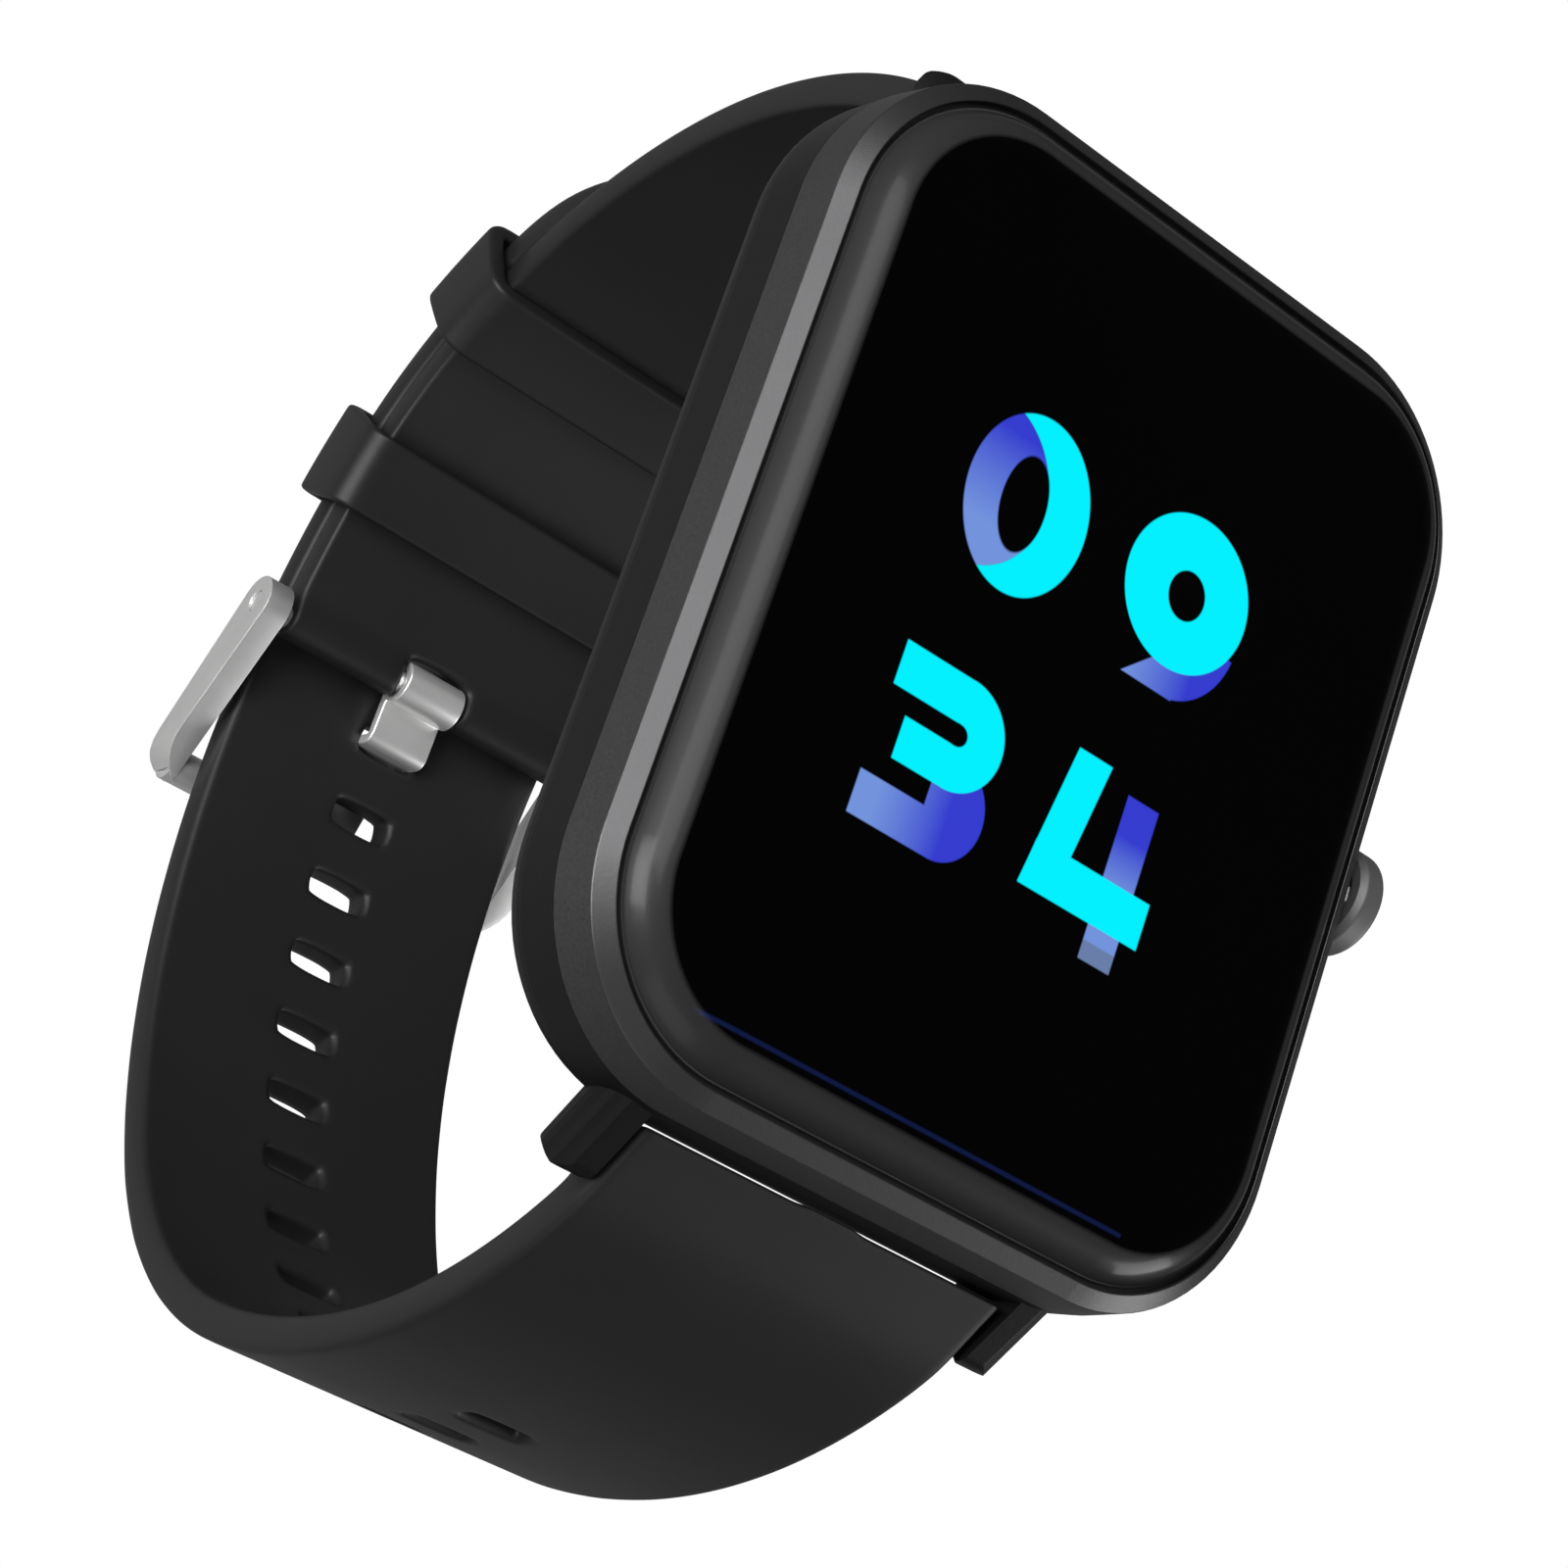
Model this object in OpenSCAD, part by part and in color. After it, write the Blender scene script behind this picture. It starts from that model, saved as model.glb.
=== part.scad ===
// Square smartwatch on a fastened silicone strap.
// +X is the crown side, +Y is 12 o'clock, +Z comes out of the display.
// The origin is the middle of the sensor window, where the watch meets the wrist.

/* [Case] */
// Height of the glass seam above the sensor window
seam_h = 8.8; // [8.6:0.1:9.2]
// Half width of the glass seam outline
seam_hw = 17.4; // [17.2:0.1:17.8]
// Half length of the glass seam outline
seam_hl = 21.65; // [21.55:0.05:22]
// Corner radius of the glass seam outline
seam_r = 7.5; // [7.2:0.1:7.8]
// Height of the glass above its seam
glass_rise = 1.2; // [0.9:0.1:1.3]
// Width of the sloping rim around the glass
rim_w = 0.9; // [0.7:0.1:1]
// Height of the metal frame below the seam
frame_h = 2.9; // [2.8:0.1:3]

/* [Crown] */
// Radius of the crown
crown_r = 2.5; // [2.3:0.1:2.6]
// How far the crown is pushed in to click
crown_travel = 0.35; // [0.25:0.05:0.35]

/* [Strap] */
// Gap between the lugs, the strap's nominal size
lug_gap = 20.2; // [20.2:0.1:20.4]
// Width of the strap where it is fastened
strap_w = 18.4; // [18:0.1:18.6]
// Thickness of the silicone
strap_t = 1.8; // [1.6:0.1:1.8]
// Play between the two overlapping halves
strap_gap = 0.2; // [0.2:0.05:0.3]
// Distance from one slot to the next along the strap
slot_pitch = 4.17; // [4.1:0.01:4.2]
// Length of a slot across the strap
slot_l = 4; // [3.9:0.1:4.2]
// Width of a slot along the strap
slot_w = 2; // [1.95:0.05:2.1]

/* [Buckle] */
// Thickness of the frame's side arms
arm_t = 1.4; // [1.3:0.1:2]
// Width of the tongue
tongue_w = 3.6; // [3.4:0.1:3.6]

/* [Hidden] */
$fn = 64;

// Heights below are counted from the glass seam.
wall_out = rim_w + 0.18;            // outer wall, outward from the seam outline
wall_in = -0.6;                     // inner wall of the case
shelf_in = -1.7;                    // inner edge of the glass shelf
shelf_z = -0.45;
parting = -frame_h;                 // where metal meets the rear case
back_z = -7.5;                      // flat of the back
floor_z = -6.4;                     // inside of the back
back_round = 2.3;
lip_h = 0.8;
wall_x = seam_hw + wall_out;
wall_y = seam_hl + wall_out;
window_r = 8;
bump_r = 12;
carrier_z = -2.35;                  // underside of the carrier plate
board_z = -5.2;
board_t = 0.8;
screw_at = [13, 17.3];
crown_z = -2.9;
tube_r = 1.05;
stem_r = 0.6;
running = 0.05;                     // radial clearance of a running fit
recess_x = wall_x - 0.88;           // floor of the spring recess
cap_x = wall_x + 0.47;              // back of the crown
cap_t = 1.45;
pocket_d = 0.9;                     // depth of the pocket in the crown
pocket_r = 1.75;
clip_x = 16.35;
tab_hw = 2.6;                       // half width of the frame's tab behind the crown

// The strap's mid line is a chain of arcs in the YZ plane: the inner face of the
// hole side, which is also the face where the two halves meet. An angle of 0 is
// straight down and a positive angle leads towards 12 o'clock.
function down(h) = [sin(h), -cos(h)];
bottom_c = [0.2, -17.8];
bottom_r = 38;
left_at = -38.4;
left_r = 22;
left_c = bottom_c + (bottom_r - left_r) * down(left_at);
side_at = -81.4;
side_r = 36;
side_c = left_c + (left_r - side_r) * down(side_at);
shoulder_at = -101.7;
shoulder_r = 29;
shoulder_c = side_c + (side_r - shoulder_r) * down(shoulder_at);
lug_at = -129.7;
right_at = 19.7;
right_r = 24;
right_c = bottom_c + (bottom_r - right_r) * down(right_at);
upper_at = 59.7;
upper_r = 34.5;
upper_c = right_c + (right_r - upper_r) * down(upper_at);
end_at = 116;
tail_from = 60.5;                   // where the rounded tip of the tail begins
tail_to = 77;
arcs = [[shoulder_c, shoulder_r, lug_at, shoulder_at], [side_c, side_r, shoulder_at, side_at],
        [left_c, left_r, side_at, left_at], [bottom_c, bottom_r, left_at, right_at],
        [right_c, right_r, right_at, upper_at], [upper_c, upper_r, upper_at, end_at]];
// Points along the chain between two angles, moved outward by out.
function strap_line(out, from, to) = [for (a = arcs)
    let (lo = max(a[2], from), hi = min(a[3], to), n = ceil((hi - lo) / 2.5))
    if (hi > lo) each [for (i = [1 : n]) each [let (p = a[0] + (a[1] + out) * down(lo + (hi - lo) * i / n))
        [p[0], p[1], 0]]]];
function backward(v) = [for (i = [len(v) - 1 : -1 : 0]) v[i]];
bottom_len = bottom_r * -left_at * PI / 180;
left_len = left_r * (left_at - side_at) * PI / 180;
right_len = bottom_r * right_at * PI / 180;
first_slot = 1.86;                  // the slot that holds the tongue
slots_to_lug = 13;
slots_to_tail = 4;
// Centre, radius and angle of the point s millimetres along the strap, measured
// from the lowest point towards 6 o'clock.
function on_strap(s) =
    s < -right_len ? [right_c, right_r, right_at + (-s - right_len) / right_r * 180 / PI]
    : s < bottom_len ? [bottom_c, bottom_r, -s / bottom_r * 180 / PI]
    : s < bottom_len + left_len
    ? [left_c, left_r, left_at - (s - bottom_len) / left_r * 180 / PI]
    : [side_c, side_r, side_at - (s - bottom_len - left_len) / side_r * 180 / PI];
lug_w = 3.3;
bar_at = [24.2, -6.8];              // spring bar axis, distance from the middle and height
bar_r = 0.75;
bar_half = 9.3;
pin_r = 0.42;
pin_reach = 11.3;
spring_half = 7.3;
strap_end_hw = lug_gap / 2 - 0.1;
keeper_wall = 1.2;
keeper_play = 0.25;
keeper_fixed_at = [16.8, 28.3];
keeper_sliding_at = [43.6, 55.4];
hinge_at = [5.1, -54];              // buckle pin
hinge_r = 0.6;
roll_r = 1.05;                      // strap end round the pin
curl_r = 1.2;                       // tongue round the pin
bar_c = [-3.3, -58.9];              // front bar of the buckle
front_r = 0.95;
arm_in = strap_w / 2 + 0.5;

// A line through points [a, b, radius], each corner rounded to its radius.
function unit(v) = v / norm(v);
function corner(a, b, c, r, steps) =
    let (u = unit(a - b), v = unit(c - b), half = acos(u * v) / 2,
         mid = b + unit(u + v) * r / sin(half),
         p = b + u * r / tan(half) - mid, q = b + v * r / tan(half) - mid,
         from = atan2(p[1], p[0]), turn = atan2(p[0] * q[1] - p[1] * q[0], p * q))
    [for (i = [0 : steps]) mid + r * [cos(from + turn * i / steps), sin(from + turn * i / steps)]];
function flat(p) = [p[0], p[1]];
function rounded(pts, steps = 6) = [for (i = [0 : len(pts) - 1])
    let (n = len(pts), a = flat(pts[(i + n - 1) % n]), b = flat(pts[i]), c = flat(pts[(i + 1) % n]))
    each pts[i][2] > 0 ? corner(a, b, c, pts[i][2], steps) : [b]];

module seat() translate([0, 0, seam_h]) children();
// Draws an outline of the YZ plane and gives it a width along X.
module across(w) rotate([90, 0, 90]) linear_extrude(w, center = true) children();
module x_rod(r, x0, x1) translate([x0, 0, 0]) rotate([0, 90, 0]) cylinder(r = r, h = x1 - x0);
// Sweeps a profile [outward, height] round the case outline.
module round_case() {
    quarter = [[1, 1, 0], [-1, 1, 90], [-1, -1, 180], [1, -1, 270]];
    for (q = quarter)
        translate([q[0] * (seam_hw - seam_r), q[1] * (seam_hl - seam_r), 0])
            rotate([0, 0, q[2]]) rotate_extrude(angle = 90) translate([seam_r, 0]) children();
    for (a = [0, 180]) {
        rotate([0, 0, a]) translate([seam_hw, seam_hl - seam_r, 0]) rotate([90, 0, 0])
            linear_extrude(2 * (seam_hl - seam_r)) children();
        rotate([0, 0, a + 90]) translate([seam_hl, seam_hw - seam_r, 0]) rotate([90, 0, 0])
            linear_extrude(2 * (seam_hw - seam_r)) children();
    }
}
// The same sweep closed in the middle, from z0 to z1.
module filled_case(z0, z1) {
    round_case() children();
    translate([seam_r - seam_hw, seam_r - seam_hl, z0])
        cube([2 * (seam_hw - seam_r), 2 * (seam_hl - seam_r), z1 - z0]);
}
module rounded_square(hw, hl, r) {
    square([2 * (hw - r), 2 * hl], center = true);
    square([2 * hw, 2 * (hl - r)], center = true);
    for (x = [r - hw, hw - r], y = [r - hl, hl - r]) translate([x, y]) circle(r);
}
module plate(hw, hl, r, z0, z1) translate([0, 0, z0]) linear_extrude(z1 - z0) rounded_square(hw, hl, r);
module block(x0, x1, y0, y1, z0, z1) translate([x0, y0, z0]) cube([x1 - x0, y1 - y0, z1 - z0]);
module at_screws() for (x = [-1, 1], y = [-1, 1]) translate([x * screw_at[0], y * screw_at[1], 0]) children();
module at_crown() translate([0, 0, crown_z]) children();
module at_bar(side) translate([0, side * bar_at[0], bar_at[1]]) children();
module at_hinge() translate([0, hinge_at[0], hinge_at[1]]) children();

// ---- front ----
module cover_glass() color("black", 0.9) {
    glass_edge = -0.12;
    glass_curve = 2.2;
    filled_case(shelf_z + 0.25, glass_rise) intersection() {
        translate([-seam_r, shelf_z + 0.25])
            square([seam_r + glass_edge, glass_rise - shelf_z - 0.25]);
        union() {
            translate([glass_edge - glass_curve, glass_rise - glass_curve]) circle(glass_curve);
            translate([-seam_r, -2]) square([seam_r + glass_edge - glass_curve, 2 + glass_rise]);
        }
    }
}
module glass_adhesive() color("dimgray")
    round_case() translate([shelf_in + 0.1, shelf_z + 0.01]) square([1.4, 0.22]);
module display_panel() color([0.05, 0.05, 0.07]) plate(15.5, 19.75, 5.6, -1.6, shelf_z + 0.22);
module display_flex() color("darkorange") across(9)
    polygon([[-16, -1.64], [-19.98, -1.64], [-19.98, -2.44], [1.16, -2.44], [1.16, -4.39],
        [1.24, -4.39], [1.24, -2.36], [-19.9, -2.36], [-19.9, -1.72], [-16, -1.72]]);
module case_frame() color([0.33, 0.34, 0.35]) difference() {
    union() {
        round_case() polygon(rounded([[0.05, 0, 0.06], [rim_w, -0.62, 0.12],
            [wall_out, parting, 0], [0.1, parting, 0], [0.1, parting - lip_h, 0],
            [wall_in, parting - lip_h, 0], [wall_in, -1.2, 0], [shelf_in, -1.2, 0],
            [shelf_in, shelf_z, 0], [0.05, shelf_z, 0]], 4));
        block(seam_hw + wall_in, wall_x, -tab_hw, tab_hw, -5.1, parting + 0.1);
    }
    at_crown() x_rod(tube_r, 10, 30);
    at_crown() x_rod(1.7, recess_x, 30);
}

// ---- inside ----
module inner_carrier() color([0.16, 0.16, 0.18]) difference() {
    union() {
        difference() {
            plate(16.7, 20.95, 6.6, carrier_z, -1.75);
            block(-9.5, 9.5, -18, -3, -3, 0);
            block(-5, 5, -21.5, -19, -3, 0);
            block(11.7, 18, -2.2, 2.2, -3, 0);
        }
        difference() {
            round_case() translate([shelf_in + 0.1, -1.8]) square([0.9, 0.58]);
            block(11.7, 18, -2.2, 2.2, -3, 0);
        }
        at_screws() translate([0, 0, -4.3]) cylinder(r = 1.8, h = 4.3 + carrier_z);
    }
    at_screws() translate([0, 0, -5]) cylinder(r = 1.1, h = 3);
}
module screw_inserts() color("goldenrod") at_screws() translate([0, 0, -4.3]) difference() {
    cylinder(r = 1.08, h = 2.1);
    translate([0, 0, -1]) cylinder(r = 0.72, h = 4);
}
module main_board() color("darkgreen") difference() {
    union() {
        block(-15.2, 15.2, 0.6, 19.6, board_z, board_z + board_t);
        block(11.4, 15.6, -2.6, 1, board_z, board_z + board_t);
    }
    for (x = [-1, 1]) translate([x * screw_at[0], screw_at[1], -7]) cylinder(r = 2.1, h = 5);
    for (x = [-1, 1]) translate([x * 15.2, 19.6, -7]) cylinder(r = 4.3, h = 5);
}
module processor() color([0.1, 0.1, 0.1]) block(-1.5, 5.5, 5, 12, board_z - 0.75, board_z);
module shield_can() color("silver") difference() {
    block(-4, 8, 2.5, 14.5, board_z - 1.1, board_z);
    block(-3.85, 7.85, 2.65, 14.35, board_z - 0.95, board_z + 1);
}
module motion_sensor() color([0.2, 0.2, 0.2]) block(2, 5, 8, 10.5, board_z + board_t, board_z + board_t + 0.8);
module battery() color("lightsteelblue") block(-10.6, 10.6, -18.6, -3.1, -6.3, -2.45);
module battery_lead() color("darkorange") union() {
    block(-9, -5, -3.1, -2.95, -4.6, -3.6);
    block(-9, -5, -2.95, 0.6, -4.3, -4.2);
    block(-9, -5, 0.6, 2.2, board_z + board_t, -4.2);
}
module vibration_motor() color("gainsboro") translate([-7.5, 8.5, board_z + board_t]) cylinder(r = 4, h = 1.95);
module antenna_strip() color("peru") block(-9, 9, 20.9, 21, -4.9, -2.6);
module side_switch() color("silver") {
    block(11.9, 13.9, -1.75, 1.75, board_z + board_t, -1.9);
    at_crown() x_rod(0.7, 13.9, 14.2);
}

// ---- back ----
module case_gasket() color("black") difference() {
    round_case() translate([wall_in + 0.05, parting - lip_h - 0.28]) square([0.6, 0.26]);
    block(10, 30, -tab_hw - 0.05, tab_hw + 0.05, -9, 0);
}
// One lug, reaching out from the end wall; side is +1 or -1 along X, reach moves its tip along Y.
module lug(side, reach) {
    lug_tilt = -43.8;
    tip = 4.9 - 0.8 * reach;
    x_mid = lug_gap / 2 + lug_w / 2;
    intersection() {
        translate([side * x_mid, 0, 0]) across(2 * lug_w) polygon(rounded([[19, -3.1, 0],
            [22.3 + reach, -3.1, 0.5], [25.45 + reach, -6.1, 0.9], [25.5 + reach, -7.3, 0.8],
            [24.2 + reach, -8.2, 1], [21.5, -8.1, 1], [19, -6.9, 0]]));
        translate([side * x_mid, 22.3 + reach, -3.05]) rotate([lug_tilt, 0, 0]) mirror([side < 0 ? 1 : 0, 0]) {
            intersection() {
                rotate([90, 0, 0]) linear_extrude(16, center = true)
                    polygon(rounded([[-lug_w / 2, -4.8, 0], [-lug_w / 2 + 0.05, -4.8, 0],
                        [lug_w / 2 - 0.1, 0, 1.3], [-lug_w / 2, 0, 0]], 8));
                linear_extrude(16, center = true)
                    polygon(rounded([[-lug_w / 2, -7, 0], [lug_w / 2 + 0.2, -7, 0],
                        [lug_w / 2 - 0.2, tip, 1.9], [-lug_w / 2, tip, 0.3]], 8));
            }
        }
    }
}
module rear_case() color([0.11, 0.11, 0.12]) difference() {
    union() {
        filled_case(back_z, parting - 0.03) polygon(rounded([[-seam_r, parting - 0.03, 0],
            [wall_out, parting - 0.03, 0], [wall_out, back_z, back_round], [-seam_r, back_z, 0]], 10));
        translate([0, 0, back_z - 0.8]) cylinder(r1 = bump_r - 0.8, r2 = bump_r, h = 0.81);
        for (side = [-1, 1]) {
            lug(side, -0.5);
            rotate([0, 0, 180]) lug(side, 0);
        }
    }
    difference() {
        filled_case(floor_z, -1) polygon(rounded([[-seam_r, -1, 0], [wall_in, -1, 0],
            [wall_in, floor_z, 1.4], [-seam_r, floor_z, 0]]));
        at_screws() translate([0, 0, -8]) cylinder(r = 2, h = 3.6);
    }
    round_case() translate([wall_in - 0.1, parting - lip_h - 0.3]) square([0.85, 5]);
    block(10, 30, -tab_hw - 0.05, tab_hw + 0.05, -5.15, 0);
    at_screws() translate([0, 0, -9]) cylinder(r = 0.78, h = 6);
    at_screws() translate([0, 0, -9]) cylinder(r = 1.4, h = 9 + back_z + 0.9);
    translate([0, 0, -8.2]) cylinder(r = window_r + 0.05, h = 1);
    translate([0, 0, -9]) cylinder(r = window_r - 0.7, h = 4);
    translate([0, 0, -10]) cylinder(r = window_r + 0.05, h = 2);
    for (x = [-4, 4]) translate([x, -15, -9]) cylinder(r = 1.05, h = 4);
    for (end = [-1, 1]) at_bar(end) x_rod(pin_r + running, -11.5, 11.5);
}
module rear_screws() color("gray") at_screws() difference() {
    union() {
        translate([0, 0, back_z + 0.15]) cylinder(r = 1.3, h = 0.7);
        translate([0, 0, back_z + 0.15]) cylinder(r = 0.7, h = 5);
    }
    translate([0, 0, back_z - 1]) cylinder(r = 0.5, h = 1.5, $fn = 6);
}
module sensor_window() color([0.06, 0.06, 0.07]) difference() {
    translate([0, 0, -seam_h]) union() {
        cylinder(r1 = window_r - 0.9, r2 = window_r - 0.3, h = 0.3);
        translate([0, 0, 0.3]) cylinder(r1 = window_r - 0.3, r2 = window_r, h = 0.5);
        translate([0, 0, 0.8]) cylinder(r = window_r, h = 0.75);
    }
    translate([0, 0, -seam_h + 0.95]) cylinder(r = window_r - 1.6, h = 2);
}
module sensor_board() color("darkgreen") translate([0, 0, -7.24]) cylinder(r = 6.9, h = 0.6);
module sensor_leds() color("palegreen") for (a = [0 : 90 : 270]) rotate([0, 0, a])
    block(3.2, 5, -0.9, 0.9, -7.6, -7.24);
module light_detector() color([0.15, 0.1, 0.2]) block(-1.5, 1.5, -1.5, 1.5, -7.65, -7.24);
module charge_contacts() color("gold") for (x = [-4, 4]) translate([x, -15, back_z - 0.1]) union() {
    cylinder(r = 1, h = 1.22);
    translate([0, 0, 1.21]) cylinder(r = 1.4, h = 0.07);
}

// ---- crown ----
module crown_tube() color("silver") at_crown() difference() {
    x_rod(tube_r, 16.6, wall_x + 0.5);
    x_rod(stem_r + running, 16, 20);
}
// A wire of radius wire wound round the X axis from x0 to x1.
module coil(r, wire, x0, x1, turns, steps = 14, sides = 6) {
    count = turns * steps;
    ring = [for (i = [0 : count], k = [0 : sides - 1])
        let (a = 360 * i / steps, b = 360 * k / sides, out = r + wire * cos(b))
        [x0 + (x1 - x0) * i / count + wire * sin(b), out * cos(a), out * sin(a)]];
    walls = [for (i = [0 : count - 1], k = [0 : sides - 1])
        let (n = (k + 1) % sides) [i * sides + k, i * sides + n, (i + 1) * sides + n, (i + 1) * sides + k]];
    polyhedron(ring, concat(walls, [[for (k = [sides - 1 : -1 : 0]) k]],
        [[for (k = [0 : sides - 1]) count * sides + k]]));
}
module crown_spring() color("silver") at_crown() coil(1.38, 0.13, recess_x + 0.15, cap_x + 0.53, 4);
module crown_washer() color("white") at_crown() difference() {
    x_rod(1.65, cap_x + 0.68, cap_x + 0.88);
    x_rod(stem_r + 0.1, 15, 25);
}
module crown_cap() color([0.45, 0.45, 0.46]) at_crown() difference() {
    translate([cap_x, 0, 0]) rotate([0, 90, 0]) rotate_extrude() polygon(rounded([[0, 0, 0],
        [crown_r - 0.25, 0, 0], [crown_r, 0.3, 0.2], [crown_r, cap_t, 0.35], [0, cap_t, 0]]));
    x_rod(pocket_r, cap_x - 1, cap_x + pocket_d);
}
module crown_stem() color("silver") at_crown() difference() {
    x_rod(stem_r, 14.6, cap_x + pocket_d);
    difference() {
        union() {
            x_rod(1, clip_x, clip_x + 0.22);
            x_rod(1, 17.7, 18.1);
        }
        x_rod(0.38, 10, 25);
    }
}
module crown_o_ring() color("black") at_crown() translate([17.9, 0, 0]) rotate([0, 90, 0])
    rotate_extrude() translate([0.51, 0]) circle(0.125, $fn = 24);
module crown_clip() color("dimgray") at_crown() difference() {
    x_rod(1.1, clip_x + 0.02, clip_x + 0.2);
    x_rod(0.39, 15, 18);
    block(15, 18, -0.3, 0.3, 0, 2);
}

// ---- strap ----
module sweep(c, from, to) translate([0, c[0], c[1]]) rotate([90, 0, 90]) rotate([0, 0, from - 90])
    rotate_extrude(angle = to - from) children();
// The strap narrows evenly from the lugs to the fastened stretch.
module narrowing() {
    narrow_z = -45;
    rotate([90, 0, 0]) linear_extrude(100, center = true) polygon([
        [-strap_end_hw, 0], [-strap_end_hw, -8], [-strap_w / 2, narrow_z], [-strap_w / 2, -70],
        [strap_w / 2, -70], [strap_w / 2, narrow_z], [strap_end_hw, -8], [strap_end_hw, 0]]);
}
module strap_hole_side() color([0.13, 0.13, 0.13]) difference() {
    intersection() {
        across(3 * strap_w) polygon(rounded(concat([[-23.1, -7, 0.6], [-23.1, -4.2, 0.5]],
            strap_line(strap_t, lug_at, tail_to), backward(strap_line(0, lug_at, tail_to)),
            [[-25, -8.4, 0], [-23.6, -8.1, 0.3]])));
        narrowing();
    }
    for (k = [-slots_to_tail : slots_to_lug]) {
        at = on_strap(k * slot_pitch - first_slot);
        translate([0, at[0][0], at[0][1]]) rotate([at[2], 0, 0]) translate([0, 0, -at[1] - 4])
            linear_extrude(8) rounded_square(slot_l / 2, slot_w / 2, slot_w / 2 - 0.02);
    }
    translate([0, upper_c[0], upper_c[1]]) rotate([tail_from, 0, 0]) difference() {
        translate([-12, 0.3, -40]) cube([24, 20, 12]);
        translate([0, 0, -41]) cylinder(r = strap_w / 2 + 0.02, h = 14);
    }
    at_bar(-1) x_rod(bar_r + running, -12, 12);
}
module strap_buckle_side() color([0.13, 0.13, 0.13]) difference() {
    outer = -strap_gap;
    inner = -strap_gap - strap_t;
    start_at = 9.5;
    roll = [for (a = [90 : 15 : 270]) [hinge_at[0] + roll_r * cos(a), hinge_at[1] + roll_r * sin(a), 0]];
    intersection() {
        across(3 * strap_w) polygon(rounded(concat(roll, strap_line(outer, start_at, end_at),
            [[26.35, -9, 1], [25.45, -6.3, 0.6], [23.1, -4.2, 0.5], [23.1, -7, 0.6], [23.6, -8.6, 1.2]],
            backward(strap_line(inner, start_at, end_at)))));
        narrowing();
    }
    at_hinge() x_rod(hinge_r + running, -20, 20);
    block(-tongue_w / 2 - 0.15, tongue_w / 2 + 0.15, 3, 6.7, -57, -51);
    at_bar(1) x_rod(bar_r + running, -12, 12);
}
// A loop round both halves, between two angles of the right-hand arc.
module keeper(span) {
    low = right_r - strap_gap - strap_t - 0.08;
    high = right_r + strap_t + keeper_play;
    half = strap_w / 2 + keeper_play;
    sweep(right_c, span[0], span[1]) difference() {
        translate([(low + high) / 2, 0])
            rounded_square((high - low) / 2 + keeper_wall, half + keeper_wall, 1.3);
        translate([(low + high) / 2, 0]) rounded_square((high - low) / 2, half, 0.5);
    }
}
module keeper_fixed() color([0.15, 0.15, 0.15]) keeper(keeper_fixed_at);
module keeper_sliding() color([0.15, 0.15, 0.15]) keeper(keeper_sliding_at);

// ---- spring bars ----
module bar_tube(end) color("silver") at_bar(end) difference() {
    x_rod(bar_r, -bar_half, bar_half);
    x_rod(pin_r + running, -20, 20);
    x_rod(0.6, -bar_half + 0.3, bar_half - 0.3);
}
module bar_pin(end, side) color("lightgray") at_bar(end) mirror([side < 0 ? 1 : 0, 0, 0]) {
    x_rod(pin_r, 8, pin_reach);
    x_rod(0.55, spring_half, bar_half - 0.32);
}
module bar_spring(end) color("silver") at_bar(end)
    coil(0.42, 0.1, -spring_half + 0.11, spring_half - 0.11, 15, 10, 5);
module bar_tube_6() bar_tube(-1);
module bar_spring_6() bar_spring(-1);
module bar_pin_6_left() bar_pin(-1, -1);
module bar_pin_6_right() bar_pin(-1, 1);
module bar_tube_12() bar_tube(1);
module bar_spring_12() bar_spring(1);
module bar_pin_12_left() bar_pin(1, -1);
module bar_pin_12_right() bar_pin(1, 1);

// ---- buckle ----
// Outline of two circles joined by their common tangents.
function link(a, ra, b, rb, n = 10) =
    let (d = b - a, at = atan2(d[1], d[0]), w = acos((ra - rb) / norm(d)))
    concat([for (i = [0 : 2 * n]) let (t = at + w + (180 - w) * i / n) a + ra * [cos(t), sin(t)]],
        [for (i = [0 : n]) let (t = at - w + 2 * w * i / n) b + rb * [cos(t), sin(t)]]);
// Plan of the buckle: square at the pin end, corners of radius r at the front bar.
module rounded_corners(hw, y0, y1, r) polygon(rounded([[-hw, y0, r], [hw, y0, r], [hw, y1, 0], [-hw, y1, 0]], 8));
module buckle_frame() color([0.75, 0.75, 0.74]) difference() {
    union() {
        intersection() {
            for (side = [-1, 1]) translate([side * (arm_in + arm_t / 2), 0, 0]) across(arm_t)
                polygon(link(hinge_at, 1.45, bar_c, front_r + 0.05));
            translate([0, 0, -70]) linear_extrude(30) rounded_corners(arm_in + arm_t, bar_c[0] - 1.2, 9, 2.6);
        }
        translate([0, bar_c[0], bar_c[1]]) x_rod(front_r, -arm_in - 0.5, arm_in + 0.5);
    }
    at_hinge() x_rod(hinge_r + 0.03, -20, 20);
}
module buckle_pin() color("silver") at_hinge() x_rod(hinge_r, -arm_in - arm_t + 0.1, arm_in + arm_t - 0.1);
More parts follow.
